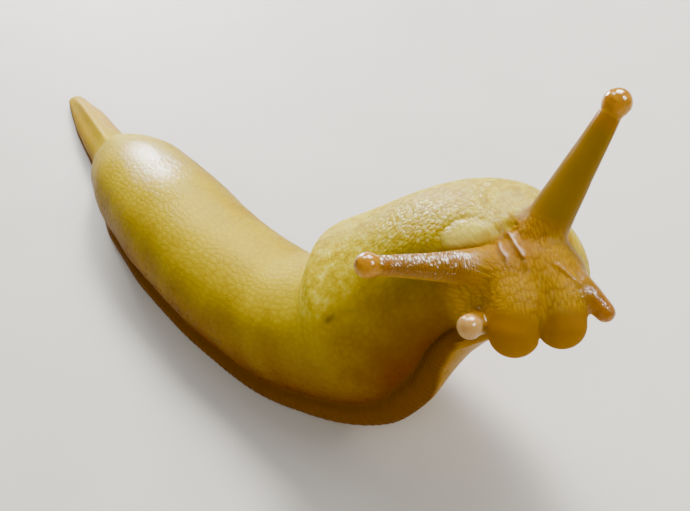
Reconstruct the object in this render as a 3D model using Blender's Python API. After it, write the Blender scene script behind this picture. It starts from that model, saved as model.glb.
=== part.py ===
"""A yellow banana slug at life size: it rests on its foot, bends to one side and raises its head.

Metres, +Z up. The tail points to +Y and the head to -Y. The sole lies on the floor at z = 0
from the tail to the bend, and the front third of the body is lifted. "Left" and "right" in
the names are the slug's own sides, and its left is towards +X. Sizes below are millimetres.
"""
import math

import bmesh
import bpy
import numpy as np
from mathutils import Vector

MM = 0.001
JOINT_GAP = 0.30
FOOT_GAP = 0.36

# Each station says where the middle of the sole lies (x, y, z), half of the body's width, its
# height from the sole to the back, and the height of the groove over the foot.
STATIONS = {
    "tail_tip": (-43.0, 61.5, 0.0, 1.7, 2.8, 1.2),
    "tail_end": (-37.5, 48.5, 0.0, 3.6, 5.4, 1.6),
    "tail_root": (-29.4, 28.8, 0.0, 4.6, 7.6, 2.0),
    "rump": (-25.2, 20.6, 0.0, 7.7, 13.8, 2.4),
    "hips": (-20.6, 11.0, 0.0, 9.8, 17.2, 2.6),
    "rear": (-13.4, -3.6, 0.0, 10.5, 18.4, 2.9),
    "middle": (-5.6, -18.0, 0.0, 10.0, 17.8, 3.0),
    "bend": (4.4, -31.4, 0.0, 10.0, 17.2, 3.2),
    "lift": (15.0, -40.5, 3.6, 10.5, 18.9, 4.0),
    "mantle_back": (22.7, -43.2, 8.2, 11.0, 21.4, 4.8),
    "mantle_middle": (28.8, -47.2, 14.8, 10.4, 18.8, 4.4),
    "mantle_front": (31.6, -51.4, 20.6, 9.8, 17.0, 3.4),
    "neck": (32.6, -55.6, 24.8, 8.4, 14.6, 2.4),
    "face": (32.4, -58.8, 27.4, 5.4, 10.2, 1.6),
}
SAMPLE_STEP = 0.5
PATH_SMOOTHING = 8.5
SIZE_SMOOTHING = 4.5
FOOT_SHORT_OF_HEAD = 1.8
FOOT_ROUNDING = 1.4
TAIL_ROUNDING = 1.2
FACE_ROUNDING = 5.2
FACE_BLUNTNESS = 0.8
FACE_CENTRE = 0.38
CHIN = 1.2
RING_STEP = 2.5
LEAST_STEP = 0.6
DOME_STEPS = 5
DOME_TIP = 0.6
FACE_STEPS = 7
HEAD_RINGS = 4

# The lengths of flesh and of foot, from one station to another.
FLESH_LENGTHS = {
    "tail": ("tail_tip", "tail_root"),
    "torso_rear": ("tail_root", "rear"),
    "torso_middle": ("rear", "bend"),
    "torso_front": ("bend", "mantle_middle"),
    "neck": ("mantle_middle", "neck"),
}
FOOT_LENGTHS = {
    "foot_tail": ("tail_tip", "tail_root"),
    "foot_rear": ("tail_root", "rear"),
    "foot_middle": ("rear", "bend"),
    "foot_front": ("bend", "neck"),
}

# The cross-section: the flank tucks in by this angle to the groove, and the widest level lies
# at this share of the flesh's height. The foot's fringe stands out past the flank.
TUCK = math.radians(25)
WIDEST_LEVEL = 0.32
BASE_SHARE = 0.5
FRINGE = 0.5
OUTLINE_POINTS = 21
# The foot's corners from the sole to its widest level, as shares of its half width and height.
FRINGE_CORNERS = ((0.45, 0.0), (0.9, 0.0), (1.0, 0.3), (0.995, 0.62))
CHIN_PROFILE = (0.8, 1.0, 0.8)

# The keel along the tail's back: its height, its width as a share of the half width, the share of
# the tail's length over which it rises from the tip, and how soon it fades towards the hips.
KEEL_HEIGHT = 1.3
KEEL_WIDTH = 0.28
KEEL_RISE = 0.3
KEEL_FADE = 2.0

MANTLE_BACK = "lift"
MANTLE_FRONT = "neck"
MANTLE_HALF_ANGLE = math.radians(58)
MANTLE_SKEW = math.radians(13)
MANTLE_FRONT_POWER = 3.3
MANTLE_BACK_POWER = 2.6
MANTLE_OVERHANG = 3.2
MANTLE_RIM = 0.9
MANTLE_UNDERSIDE = 0.5
MANTLE_BACK_LIFT = 0.25
MANTLE_THICKNESS = 1.6
MANTLE_RINGS = (0.25, 0.5, 0.72, 0.88, 0.97, 1.0)
MANTLE_SPOKES = 36
MANTLE_NOTCH = 2.0

# The breathing hole opens in the mantle's right edge, behind the middle. The share is of the way
# from the mantle's middle to its back, and the sizes are half lengths along, aside and deep.
HOLE_SHARE_BACK = 0.3
HOLE_SHARE_OUT = 0.96
HOLE_SIZE = (1.5, 0.7, 0.9)
EDGE_TURN = 0.05
ELLIPSOID_RINGS = 7

# The mouth is a slit under the head, behind the cleft between the lobes: its middle as (left, up,
# forwards) from the sole's middle at the face's station, and its half sizes forwards, left and up.
MOUTH_PLACE = (0.0, -0.6, 1.2)
MOUTH_SIZE = (1.9, 0.35, 0.9)

LIMB_SIDES = 14
LIMB_SAMPLES = 60
# How far along its heading the point lies towards which a limb's curve first runs, as a share of
# its reach, the direction that its rings are turned to, and the rings of each kind of stretch.
LIMB_BEND = 0.4
LIMB_UP = (0.0, 0.3, 1.0)
STUB_RINGS = 5
STALK_RINGS = 7
BALL_RINGS = 5
SOCKET_RINGS = 4
# Where each limb grows on the face: (left, up, forwards) from the sole's middle at the face's
# station, its heading there, where the middle of its end ball lies, its radii at the root, at the
# neck and of the ball, how its taper flares, and how far out it parts from the head.
LIMBS = {
    "upper_tentacle_left": dict(
        root=(-0.6, 7.2, -0.4), heading=(0.6, 0.78, 0.12), end=(43.6, -46.9, 45.5),
        radii=(2.95, 1.12, 1.55), flare=1.1, joint=6.4, ball="eye_left"),
    "upper_tentacle_right": dict(
        root=(-2.8, 7.4, -0.6), heading=(-0.93, 0.22, 0.2), end=(16.0, -53.8, 37.4),
        radii=(2.6, 1.05, 1.4), flare=1.7, joint=5.2, ball="eye_right"),
    "lower_tentacle_left": dict(
        root=(1.6, 6.4, 2.2), heading=(0.85, -0.45, 0.3), end=(38.1, -60.7, 30.9),
        radii=(2.0, 1.05, 1.05), flare=1.2, joint=4.6, ball=None),
    "lower_tentacle_right": dict(
        root=(-5.1, 2.5, -0.6), heading=(-0.85, -0.05, 0.5), end=(24.3, -61.2, 33.7),
        radii=(1.5, 1.2, 1.28), flare=1.4, joint=2.4, ball=None),
}
UPPER = ("upper_tentacle_left", "upper_tentacle_right")
LOWER = ("lower_tentacle_left", "lower_tentacle_right")
LOBES = {
    "mouth_lobe_left": dict(
        root=(1.5, 2.6, -0.6), heading=(0.2, -0.3, 0.9), end=(33.8, -60.4, 30.1),
        radii=(1.8, 1.8, 2.52), flare=1.0),
    "mouth_lobe_right": dict(
        root=(-1.5, 2.6, -0.6), heading=(-0.2, -0.3, 0.9), end=(29.0, -60.2, 30.3),
        radii=(1.8, 1.8, 2.68), flare=1.0),
}

COLOURS = {
    "flesh": (0.62, 0.47, 0.06),
    "mantle": (0.66, 0.58, 0.20),
    "head": (0.50, 0.28, 0.03),
    "foot": (0.50, 0.30, 0.05),
    "eye": (0.55, 0.26, 0.05),
}


def clear_scene():
    """Remove whatever the scene holds."""
    for thing in list(bpy.data.objects):
        bpy.data.objects.remove(thing, do_unlink=True)


def material(kind):
    """The wet skin of one kind of flesh."""
    made = bpy.data.materials.get(kind)
    if made:
        return made
    made = bpy.data.materials.new(kind)
    made.use_nodes = True
    shader = made.node_tree.nodes["Principled BSDF"]
    shader.inputs["Base Color"].default_value = (*COLOURS[kind], 1.0)
    shader.inputs["Roughness"].default_value = 0.3
    shader.inputs["Metallic"].default_value = 0.0
    return made


def smoothed(values, distance):
    """Samples rounded over a distance, with both ends carried on in a straight line."""
    reach = int(distance / SAMPLE_STEP)
    window = np.hanning(2 * reach + 1)
    steps = np.arange(1, reach + 1)
    before = values[0] - (values[1] - values[0]) * steps[::-1]
    after = values[-1] + (values[-1] - values[-2]) * steps
    return np.convolve(np.concatenate([before, values, after]), window / window.sum(), mode="valid")


def unit(vector):
    """The vector at length one."""
    vector = np.asarray(vector, dtype=float)
    return vector / np.linalg.norm(vector)


class Body:
    """The curve through the stations, with the body's sizes and its frame along it."""

    def __init__(self):
        rows = np.array(list(STATIONS.values()))
        spans = np.linalg.norm(np.diff(rows[:, :3], axis=0), axis=1)
        knots = np.concatenate([[0.0], np.cumsum(spans)])
        self.at = dict(zip(STATIONS, knots))
        self.samples = np.arange(0.0, knots[-1], SAMPLE_STEP)
        self.columns = [
            smoothed(np.interp(self.samples, knots, row), PATH_SMOOTHING if k < 3 else SIZE_SMOOTHING)
            for k, row in enumerate(rows.T)
        ]
        self.slopes = [np.gradient(column, SAMPLE_STEP) for column in self.columns[:3]]

    def read(self, columns, s):
        """The columns' values at the distance s from the tail."""
        return np.array([np.interp(s, self.samples, column) for column in columns])

    def sizes(self, s):
        """Half width, height, and height of the groove over the foot."""
        return self.read(self.columns[3:], s)

    def frame(self, s):
        """The sole's middle, and the directions forwards, to the slug's left, and up its back."""
        middle = self.read(self.columns[:3], s)
        forwards = unit(self.read(self.slopes, s))
        up = unit(np.array([0.0, 0.0, 1.0]) - forwards[2] * forwards)
        return middle, forwards, np.cross(up, forwards), up

    def place(self, s, outline, shift=0.0):
        """An outline of (left, up) distances, set square to the curve at s."""
        middle, forwards, left, up = self.frame(s)
        return middle + shift * forwards + outline[:, :1] * left + outline[:, 1:] * up


ARC = np.linspace(-TUCK, math.pi + TUCK, OUTLINE_POINTS)


def keel_at(body, s):
    """How far the tail's keel stands up at s."""
    share = np.clip(1.0 - s / body.at["hips"], 0.0, 1.0)
    tip = np.clip(s / (KEEL_RISE * body.at["tail_root"]), 0.0, 1.0)
    return KEEL_HEIGHT * min(1.0, KEEL_FADE * share) * tip


def widest_level(height, foot):
    """The level at which the flesh is widest."""
    return foot + WIDEST_LEVEL * (height - foot)


def flesh_point(angle, half_width, height, foot, proud=0.0):
    """A point of the flesh's outline at an angle round it, standing proud of it by a distance."""
    level = widest_level(height, foot)
    drop = (level - foot) / math.sin(TUCK)
    rise = np.where(np.sin(angle) > 0, height - level, drop)
    return np.stack([(half_width + proud) * np.cos(angle), level + (rise + proud) * np.sin(angle)], axis=-1)


def flesh_outline(half_width, height, foot, keel=0.0, chin=0.0):
    """The cross-section over the foot: a round back on a flat base, or on a chin that sags below it."""
    arc = flesh_point(ARC, half_width, height, foot)
    ridge = keel * np.exp(-(arc[:, 0] / (KEEL_WIDTH * half_width)) ** 2)
    arc[:, 1] += np.where(np.sin(ARC) > 0, ridge, 0.0)
    across = half_width * math.cos(TUCK) * np.array([-BASE_SHARE, 0.0, BASE_SHARE])
    sag = chin * np.array(CHIN_PROFILE)
    base = np.stack([across, foot - sag], axis=-1)
    return np.concatenate([arc, base])


def foot_outline(half_width, foot):
    """The foot's cross-section: a flat sole, and a fringe that rounds up to the groove."""
    groove = half_width * math.cos(TUCK)
    edge = half_width + FRINGE
    top = foot - FOOT_GAP
    fringe = [(aside * edge, level * foot) for aside, level in FRINGE_CORNERS]
    half = fringe + [(groove, top), (BASE_SHARE * groove, top)]
    mirrored = [(-x, z) for x, z in half]
    return np.array([(0.0, 0.0)] + mirrored + [(0.0, top)] + half[::-1])


def solid(name, rings, kind):
    """A closed solid through rings of equal counts, with flat ends."""
    work = bmesh.new()
    rows = [[work.verts.new(Vector(point) * MM) for point in ring] for ring in rings]
    count = len(rows[0])
    for here, there in zip(rows[:-1], rows[1:]):
        for k in range(count):
            after = (k + 1) % count
            work.faces.new((here[k], here[after], there[after]))
            work.faces.new((here[k], there[after], there[k]))
    work.faces.new(list(reversed(rows[0])))
    work.faces.new(rows[-1])
    bmesh.ops.recalc_face_normals(work, faces=work.faces)
    mesh = bpy.data.meshes.new(name)
    work.to_mesh(mesh)
    work.free()
    mesh.shade_smooth()
    mesh.materials.append(material(kind))
    made = bpy.data.objects.new(name, mesh)
    bpy.context.scene.collection.objects.link(made)
    return made


def ring_places(start, stop):
    """Places for rings between two joints, half a gap short of each, and shared by flesh and foot."""
    start += JOINT_GAP / 2
    stop -= JOINT_GAP / 2
    shared = np.arange(0.0, stop, RING_STEP)
    inside = shared[(shared > start + LEAST_STEP) & (shared < stop - LEAST_STEP)]
    return np.concatenate([[start], inside, [stop]])


def dome(steps=DOME_STEPS, power=1.0):
    """The scale of each ring of a rounded end, and how far it stands out, from its rim to its tip."""
    turns = [0.5 * math.pi * (k + 1) / (steps + DOME_TIP) for k in range(steps)]
    return [(math.cos(turn) ** power, math.sin(turn)) for turn in turns]


def body_rings(body, first, last, outline_at):
    """Rings from one station to another, rounded off at the tip of the tail."""
    places = ring_places(body.at[first], body.at[last])
    rings = [body.place(s, outline_at(s)) for s in places]
    if first == "tail_tip":
        size = body.sizes(0.0)[0]
        tip = outline_at(places[0])
        ends = [body.place(places[0], tip * scale, -reach * TAIL_ROUNDING * size) for scale, reach in dome()]
        rings = ends[::-1] + rings
    return rings


def add_flesh(body):
    """The lengths of flesh from the tail to the neck."""

    def outline_at(s):
        half_width, height, foot = body.sizes(s)
        return flesh_outline(half_width, height, foot, keel_at(body, s))

    for name, (first, last) in FLESH_LENGTHS.items():
        solid(name, body_rings(body, first, last, outline_at), "flesh")


def add_foot(body):
    """The lengths of the foot; the last is rounded off under the head."""

    def outline_at(s):
        half_width, _, foot = body.sizes(s)
        return foot_outline(half_width, foot)

    for name, (first, last) in FOOT_LENGTHS.items():
        rings = body_rings(body, first, last, outline_at)
        if name == "foot_front":
            s = RING_STEP * math.floor((body.at[last] - FOOT_SHORT_OF_HEAD) / RING_STEP)
            outline = outline_at(s)
            top = np.array([0.0, outline[:, 1].max() - JOINT_GAP / 2])
            rings = [body.place(t, outline_at(t)) for t in ring_places(body.at[first], s + JOINT_GAP / 2)]
            for scale, reach in dome():
                rings.append(body.place(s, top + (outline - top) * scale, reach * FOOT_ROUNDING))
        solid(name, rings, "foot")


def mantle_turn(spoke):
    """How far ahead and aside a spoke's end lies, from -1 to 1, with a squarer edge in front."""
    turn = 2 * math.pi * spoke / MANTLE_SPOKES
    ahead, aside = math.cos(turn), math.sin(turn)
    power = MANTLE_FRONT_POWER if ahead > 0 else MANTLE_BACK_POWER
    reach = (abs(ahead) ** power + abs(aside) ** power) ** (-1 / power)
    return reach * ahead, reach * aside


def mantle_span(body):
    """The mantle's middle and half of its length, along the body's curve."""
    back, front = body.at[MANTLE_BACK], body.at[MANTLE_FRONT] + MANTLE_OVERHANG
    return (back + front) / 2, (front - back) / 2


def mantle_point(body, share, spoke, lift_at):
    """A point of the mantle, at a share of the way out along a spoke, raised off the flesh."""
    middle, half_length = mantle_span(body)
    ahead, aside = mantle_turn(spoke)
    s = middle + half_length * share * ahead
    angle = math.pi / 2 + MANTLE_HALF_ANGLE * share * aside + MANTLE_SKEW * max(0.0, share * ahead) ** 2
    half_width, height, foot = body.sizes(s)
    proud = lift_at(share) + MANTLE_BACK_LIFT * max(0.0, -share * ahead)
    return body.place(s, flesh_point(np.array([angle]), half_width, height, foot, proud))[0]


def mantle_top(share):
    """The height of the mantle's upper face over the flesh."""
    return JOINT_GAP + MANTLE_RIM + (MANTLE_THICKNESS - MANTLE_RIM) * math.sqrt(max(0.0, 1.0 - share * share))


def add_mantle(body):
    """The shield over the front of the back, a bowed plate with a rounded rim."""
    work = bmesh.new()
    faces = []
    for lift_at in (mantle_top, lambda share: MANTLE_UNDERSIDE):
        centre = work.verts.new(Vector(mantle_point(body, 0.0, 0, lift_at)) * MM)
        rows = []
        for share in MANTLE_RINGS:
            points = [mantle_point(body, share, k, lift_at) for k in range(MANTLE_SPOKES)]
            rows.append([work.verts.new(Vector(point) * MM) for point in points])
        faces.append((centre, rows))
        for k in range(MANTLE_SPOKES):
            after = (k + 1) % MANTLE_SPOKES
            work.faces.new((centre, rows[0][k], rows[0][after]))
            for inner, outer in zip(rows[:-1], rows[1:]):
                work.faces.new((inner[k], outer[k], outer[after]))
                work.faces.new((inner[k], outer[after], inner[after]))
    upper, lower = faces[0][1][-1], faces[1][1][-1]
    for k in range(MANTLE_SPOKES):
        after = (k + 1) % MANTLE_SPOKES
        work.faces.new((upper[k], lower[k], lower[after]))
        work.faces.new((upper[k], lower[after], upper[after]))
    bmesh.ops.recalc_face_normals(work, faces=work.faces)
    mesh = bpy.data.meshes.new("mantle")
    work.to_mesh(mesh)
    work.free()
    mesh.shade_smooth()
    mesh.materials.append(material("mantle"))
    made = bpy.data.objects.new("mantle", mesh)
    bpy.context.scene.collection.objects.link(made)
    cutters = [hole_cutter(body)]
    for name in UPPER:
        limb = make_limb(body, LIMBS[name])
        reach = LIMBS[name]["joint"] + MANTLE_NOTCH
        cutters.append(solid("cut_" + name, limb.rings(0.0, reach, STUB_RINGS, JOINT_GAP), "mantle"))
    combine(made, cutters, "DIFFERENCE")


def ellipsoid(name, middle, axes, sizes, kind):
    """A closed ellipsoid with its half sizes along the axes."""
    axes = np.array(axes) * np.array(sizes)[:, None]
    turns = 2 * math.pi * np.arange(LIMB_SIDES) / LIMB_SIDES
    rings = []
    for tilt in np.linspace(-0.5 * math.pi, 0.5 * math.pi, ELLIPSOID_RINGS + 2)[1:-1]:
        round_it = math.cos(tilt) * np.stack([np.cos(turns), np.sin(turns)], axis=1)
        points = np.insert(round_it, 0, math.sin(tilt), axis=1)
        rings.append(middle + points @ axes)
    return solid(name, rings, kind)


def hole_cutter(body):
    """What cuts the breathing hole into the mantle's right edge."""
    middle, half_length = mantle_span(body)
    s = middle - HOLE_SHARE_BACK * half_length
    half_width, height, foot = body.sizes(s)
    angle = math.pi / 2 + MANTLE_HALF_ANGLE * HOLE_SHARE_OUT
    angles = np.array([angle, angle + EDGE_TURN])
    edge, beyond = body.place(s, flesh_point(angles, half_width, height, foot, JOINT_GAP + MANTLE_RIM))
    forwards = body.frame(s)[1]
    down = unit(beyond - edge)
    return ellipsoid("hole", edge, (forwards, down, np.cross(forwards, down)), HOLE_SIZE, "mantle")


class Limb:
    """A round tapered limb that grows from the head along a curve, with a ball at its end."""

    def __init__(self, root, heading, tip, radii, flare, wall=None):
        reach = np.linalg.norm(tip - root)
        bend = root + LIMB_BEND * reach * unit(heading)
        t = np.linspace(0.0, 1.0, LIMB_SAMPLES)[:, None]
        self.curve = (1 - t) ** 2 * root + 2 * t * (1 - t) * bend + t * t * tip
        steps = np.linalg.norm(np.diff(self.curve, axis=0), axis=1)
        self.distance = np.concatenate([[0.0], np.cumsum(steps)])
        self.length = self.distance[-1]
        self.slopes = np.gradient(self.curve, self.distance, axis=0)
        self.root_radius, self.neck_radius, self.ball_radius = radii
        self.flare = flare
        self.wall = wall

    def radius(self, d):
        """The radius at the distance d along the limb."""
        left = max(0.0, 1.0 - d / self.length)
        taper = self.neck_radius + (self.root_radius - self.neck_radius) * left ** self.flare
        from_ball = abs(d - self.length)
        ball = math.sqrt(max(0.0, self.ball_radius ** 2 - from_ball ** 2))
        return max(taper, ball) if d < self.length else ball

    def ring(self, d, swell=0.0):
        """A ring round the limb at the distance d, pressed flat where it meets the wall."""
        inside = min(max(d, 0.0), self.length)
        point, ahead = [
            np.array([np.interp(inside, self.distance, values[:, k]) for k in range(3)])
            for values in (self.curve, self.slopes)
        ]
        ahead = unit(ahead)
        point = point + (d - inside) * ahead
        side = unit(np.cross(ahead, LIMB_UP))
        other = np.cross(ahead, side)
        turns = 2 * math.pi * np.arange(LIMB_SIDES) / LIMB_SIDES
        spread = self.radius(d) + swell
        ring = point + spread * (np.cos(turns)[:, None] * side + np.sin(turns)[:, None] * other)
        if self.wall:
            place, normal = self.wall
            short = np.minimum(0.0, (ring - place) @ normal - JOINT_GAP / 2)
            ring = ring - short[:, None] * normal
        return ring

    def rings(self, start, stop, steps, swell=0.0):
        """Rings between two distances, closing in on the tip where the stretch ends there."""
        if stop < self.length:
            return [self.ring(d, swell) for d in np.linspace(start, stop, steps)]
        places = list(np.linspace(start, self.length, steps))
        places += [self.length + self.ball_radius * rise for _, rise in dome()]
        return [self.ring(d, swell) for d in places]


def make_limb(body, spec, wall=None):
    """The limb that an entry of LIMBS or LOBES describes."""
    middle, forwards, left, up = body.frame(body.at["face"])

    def along(values):
        return values[0] * left + values[1] * up + values[2] * forwards

    root = middle + along(spec["root"])
    return Limb(root, along(spec["heading"]), np.array(spec["end"]), spec["radii"], spec["flare"], wall)


def make_lobes(body):
    """The two lobes beside the mouth, each pressed flat where they meet."""
    left, right = [np.array(spec["end"]) for spec in LOBES.values()]
    left_radius, right_radius = [spec["radii"][-1] for spec in LOBES.values()]
    across = unit(left - right)
    spare = (np.linalg.norm(left - right) - left_radius - right_radius) / 2
    middle = right + (right_radius + spare) * across
    walls = {"mouth_lobe_left": (middle, across), "mouth_lobe_right": (middle, -across)}
    return {name: make_limb(body, spec, walls[name]) for name, spec in LOBES.items()}


def combine(target, helpers, operation):
    """Join helpers to the target, or cut them from it, with one Boolean, and keep one surface."""
    group = bpy.data.collections.new("helpers")
    bpy.context.scene.collection.children.link(group)
    for helper in helpers:
        bpy.context.scene.collection.objects.unlink(helper)
        group.objects.link(helper)
    boolean = target.modifiers.new("combine", "BOOLEAN")
    boolean.operation = operation
    boolean.solver = "EXACT"
    boolean.operand_type = "COLLECTION"
    boolean.collection = group
    bpy.context.view_layer.update()
    shape = bpy.data.meshes.new_from_object(target.evaluated_get(bpy.context.evaluated_depsgraph_get()))
    target.modifiers.clear()
    target.data = shape
    for helper in helpers:
        bpy.data.objects.remove(helper, do_unlink=True)
    bpy.data.collections.remove(group)
    keep_largest(target)


def keep_largest(target):
    """Delete all but the largest connected surface of a mesh."""
    work = bmesh.new()
    work.from_mesh(target.data)
    unseen = set(work.verts)
    shells = []
    while unseen:
        shell, edge = set(), [unseen.pop()]
        while edge:
            vert = edge.pop()
            shell.add(vert)
            for link in vert.link_edges:
                other = link.other_vert(vert)
                if other in unseen:
                    unseen.discard(other)
                    edge.append(other)
        shells.append(shell)
    largest = max(shells, key=len)
    bmesh.ops.delete(work, geom=[v for v in work.verts if v not in largest], context="VERTS")
    work.to_mesh(target.data)
    work.free()


def add_head(body):
    """The head: flesh from the neck to a rounded face, with a stub for each limb."""
    start, stop = body.at["neck"] + JOINT_GAP / 2, body.at["face"] - SAMPLE_STEP

    def outline_at(s):
        half_width, height, foot = body.sizes(s)
        share = (s - start) / (stop - start)
        return flesh_outline(half_width, height, foot, chin=CHIN * math.sin(0.5 * math.pi * share))

    rings = [body.place(s, outline_at(s)) for s in np.linspace(start, stop, HEAD_RINGS)]
    outline = outline_at(stop)
    centre = np.array([0.0, FACE_CENTRE * body.sizes(stop)[1]])
    for scale, reach in dome(FACE_STEPS, FACE_BLUNTNESS):
        rings.append(body.place(stop, centre + (outline - centre) * scale, reach * FACE_ROUNDING))
    head = solid("head", rings, "head")
    stubs = []
    for name, spec in LIMBS.items():
        limb = make_limb(body, spec)
        rings = limb.rings(0.0, spec["joint"] - JOINT_GAP / 2, STUB_RINGS)
        stubs.append(solid("stub_" + name, rings, "head"))
    combine(head, stubs, "UNION")
    sockets = []
    for name, lobe in make_lobes(body).items():
        lobe.wall = None
        rings = lobe.rings(-JOINT_GAP, lobe.length, SOCKET_RINGS, JOINT_GAP)
        sockets.append(solid("socket_" + name, rings, "head"))
    for name in LOWER:
        limb = make_limb(body, LIMBS[name])
        rings = limb.rings(LIMBS[name]["joint"] - JOINT_GAP / 3, limb.length, STUB_RINGS, JOINT_GAP)
        sockets.append(solid("socket_" + name, rings, "head"))
    middle, forwards, left, up = body.frame(body.at["face"])
    place = middle + np.array(MOUTH_PLACE) @ np.array([left, up, forwards])
    sockets.append(ellipsoid("mouth", place, (forwards, left, up), MOUTH_SIZE, "head"))
    combine(head, sockets, "DIFFERENCE")


def add_limbs(body):
    """The tentacles, and the balls at their ends that hold the eyes."""
    for name, spec in LIMBS.items():
        limb = make_limb(body, spec)
        start = spec["joint"] + JOINT_GAP / 2
        if spec["ball"]:
            neck = limb.length - limb.ball_radius
            solid(name, limb.rings(start, neck - JOINT_GAP / 2, STALK_RINGS), "head")
            solid(spec["ball"], limb.rings(neck + JOINT_GAP / 2, limb.length, BALL_RINGS), "eye")
        else:
            solid(name, limb.rings(start, limb.length, STUB_RINGS), "head")


def add_lobes(body):
    """The two lobes beside the mouth, sunk into their sockets in the head."""
    for name, lobe in make_lobes(body).items():
        solid(name, lobe.rings(0.0, lobe.length, STUB_RINGS), "head")


def main():
    """Build the slug."""
    clear_scene()
    body = Body()
    add_flesh(body)
    add_foot(body)
    add_mantle(body)
    add_head(body)
    add_limbs(body)
    add_lobes(body)


main()
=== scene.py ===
"""A yellow banana slug in its wet skin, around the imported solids.

One skin replaces all the flesh, and the knobs that hold the eyes stay pieces of their own. Shapes
are in millimetres until a mesh's last step. "Left" and "right" are the slug's own.
"""

import math
from types import SimpleNamespace

import bpy
import numpy as np
from mathutils import Matrix, Vector


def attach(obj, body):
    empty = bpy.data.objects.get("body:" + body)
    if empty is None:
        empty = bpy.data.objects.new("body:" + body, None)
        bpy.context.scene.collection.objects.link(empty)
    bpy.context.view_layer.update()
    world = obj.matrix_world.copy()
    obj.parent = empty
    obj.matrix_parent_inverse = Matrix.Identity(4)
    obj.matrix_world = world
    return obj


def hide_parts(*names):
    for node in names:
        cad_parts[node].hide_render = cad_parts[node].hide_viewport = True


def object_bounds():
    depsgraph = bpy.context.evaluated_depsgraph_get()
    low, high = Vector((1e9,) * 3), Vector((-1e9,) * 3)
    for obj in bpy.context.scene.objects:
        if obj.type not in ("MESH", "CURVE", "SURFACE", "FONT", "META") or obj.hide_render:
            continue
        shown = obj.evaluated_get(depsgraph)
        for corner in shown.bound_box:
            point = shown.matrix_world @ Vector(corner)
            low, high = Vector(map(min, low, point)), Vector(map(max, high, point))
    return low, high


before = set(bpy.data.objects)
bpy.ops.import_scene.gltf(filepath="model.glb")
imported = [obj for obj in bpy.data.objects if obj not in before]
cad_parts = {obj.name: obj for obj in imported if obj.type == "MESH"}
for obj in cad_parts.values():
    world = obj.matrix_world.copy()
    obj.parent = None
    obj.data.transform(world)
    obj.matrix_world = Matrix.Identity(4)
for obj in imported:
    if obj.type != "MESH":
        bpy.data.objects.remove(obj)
cad_low, cad_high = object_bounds()

MM = 0.001
SEED = 11

# Stations along the body, as in the solids: the middle of the sole (x, y, z), half of the body's
# width, its height, and the height of the groove over the foot.
STATIONS = {
    "tail_tip": (-43.0, 61.5, 0.0, 1.7, 2.8, 1.2),
    "tail_end": (-37.5, 48.5, 0.0, 3.6, 5.4, 1.6),
    "tail_root": (-29.4, 28.8, 0.0, 4.6, 7.6, 2.0),
    "rump": (-25.2, 20.6, 0.0, 7.7, 13.8, 2.4),
    "hips": (-20.6, 11.0, 0.0, 9.8, 17.2, 2.6),
    "rear": (-13.4, -3.6, 0.0, 10.5, 18.4, 2.9),
    "middle": (-5.6, -18.0, 0.0, 10.0, 17.8, 3.0),
    "bend": (4.4, -31.4, 0.0, 10.0, 17.2, 3.2),
    "lift": (15.0, -40.5, 3.6, 10.5, 18.9, 4.0),
    "mantle_back": (22.7, -43.2, 8.2, 11.0, 21.4, 4.8),
    "mantle_middle": (28.8, -47.2, 14.8, 10.4, 18.8, 4.4),
    "mantle_front": (31.6, -51.4, 20.6, 9.8, 17.0, 3.4),
    "neck": (32.6, -55.6, 24.8, 8.4, 14.6, 2.4),
    "face": (32.4, -58.8, 27.4, 5.4, 10.2, 1.6),
}
# The steps along the body, the lengths over which its stations are rounded, and how far its curve
# is carried on at both ends.
SAMPLE_STEP = 0.5
RING_STEP = 0.4
PATH_SMOOTHING = 8.5
SIZE_SMOOTHING = 4.5
OVERRUN = 10.0
FAR = 99.0
# How many vertices are looked up at a time.
BATCH = 5000

# The flesh's outline: its tuck above the foot, where it is widest, how far the foot stands out
# beside it, how deep it sinks into the foot, and the tail's keel.
TUCK = math.radians(25)
WIDEST_LEVEL = 0.32
FRINGE = 0.5
SINK = 0.8
KEEL_HEIGHT = 1.3
KEEL_WIDTH = 0.28
# How both ends of the flesh and the foot are rounded off, and how far the chin sags.
TAIL_ROUNDING = 1.2
FACE_ROUNDING = 5.2
FACE_BLUNTNESS = 0.8
FACE_CENTRE = 0.38
FOOT_SHORT_OF_HEAD = 1.8
FOOT_ROUNDING = 1.4
CHIN = 1.2

# The mantle: the stations at its ends, how far round it reaches and leans, how square its outline
# is, and how high its edges and its middle stand.
MANTLE_BACK = "lift"
MANTLE_FRONT = "neck"
MANTLE_HALF_ANGLE = math.radians(58)
MANTLE_SKEW = math.radians(13)
MANTLE_FRONT_POWER = 3.3
MANTLE_BACK_POWER = 2.6
MANTLE_OVERHANG = 3.2
MANTLE_EDGE_FRONT = 1.15
MANTLE_EDGE_BACK = 0.2
MANTLE_CREST = 1.9

# The breathing hole, as shares of the mantle's way back and out, and its slit.
HOLE_SHARE_BACK = 0.3
HOLE_SHARE_OUT = 0.96
HOLE_HALF_LENGTH = 1.3
HOLE_RIM = 0.08
HOLE_DEPTH = 0.3
# How far ahead of the face's station the mouth lies, and its slit.
MOUTH_AHEAD = 1.2
MOUTH_HALF_LENGTH = 1.9
MOUTH_RIM = 0.2
MOUTH_DEPTH = 0.55

# The folds on the brow and the left cheek: start, end, height and width.
FOLDS = (
    ((31.1, -51.0, 35.3), (31.3, -57.1, 35.7), 0.34, 0.26),
    ((29.9, -51.8, 35.0), (29.7, -55.9, 35.6), 0.28, 0.24),
    ((34.1, -57.2, 35.7), (36.2, -59.4, 33.6), 0.16, 0.3),
)
# The reddish place on the brow.
BROW_PLACE = (30.8, -54.6, 35.6)
BROW_REACH = 3.4
# The swollen lip of the mantle: its width, and where it starts, is widest and ends, in degrees to
# the right of the back's middle.
LIP_WIDTH = 2.5
LIP_TURNS = (12.0, 38.0, 46.0, 64.0)
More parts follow.
